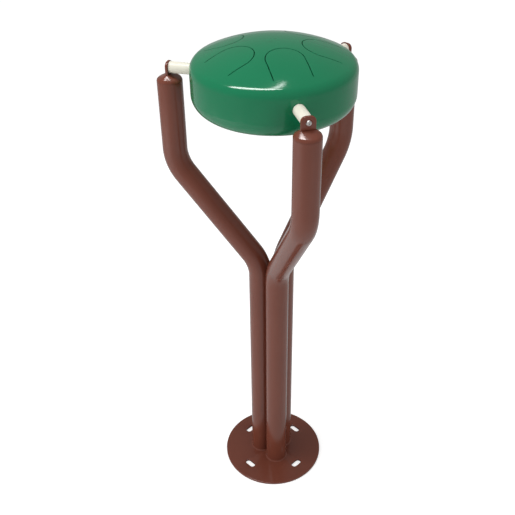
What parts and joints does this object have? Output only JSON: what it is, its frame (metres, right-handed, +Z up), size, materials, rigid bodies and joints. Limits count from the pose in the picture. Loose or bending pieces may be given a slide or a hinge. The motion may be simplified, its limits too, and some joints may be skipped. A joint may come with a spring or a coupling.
{
  "type": "tongue drum",
  "caption": "Domed steel tongue drum bolted through nylon spacers to bent tube posts on a round slotted floor plate.",
  "frame": {"origin": "centre of the floor plate's underside, on the drum's axis", "axes": "+Z up along the drum's axis, +X from the axis towards the rear post; the left post stands at 120 degrees and the front post at 240 degrees, seen from above"},
  "size_m": [0.3688, 0.3892, 1.031],
  "materials": {
    "brown_powder_coat": "dark brown powder coat with a fine satin texture on steel",
    "green_powder_coat": "glossy green powder coat on steel",
    "cream_nylon": "turned natural nylon, satin",
    "stainless_steel": "stainless steel fasteners, bright"
  },
  "bodies": {
    "root": {"base_plate": "brown_powder_coat", "post_tube_rear": "brown_powder_coat", "post_tube_left": "brown_powder_coat", "post_tube_front": "brown_powder_coat", "post_cap_rear": "brown_powder_coat", "post_cap_left": "brown_powder_coat", "post_cap_front": "brown_powder_coat", "hanger_lug_rear": "brown_powder_coat", "hanger_lug_left": "brown_powder_coat", "hanger_lug_front": "brown_powder_coat", "standoff_rear": "cream_nylon", "standoff_left": "cream_nylon", "standoff_front": "cream_nylon", "standoff_bolt_rear": "stainless_steel", "standoff_bolt_left": "stainless_steel", "standoff_bolt_front": "stainless_steel", "bolt_washer_rear": "stainless_steel", "bolt_washer_left": "stainless_steel", "bolt_washer_front": "stainless_steel", "lock_nut_rear": "stainless_steel", "lock_nut_left": "stainless_steel", "lock_nut_front": "stainless_steel", "drum_head": "green_powder_coat", "drum_bowl": "green_powder_coat"}
  },
  "joints": []
}
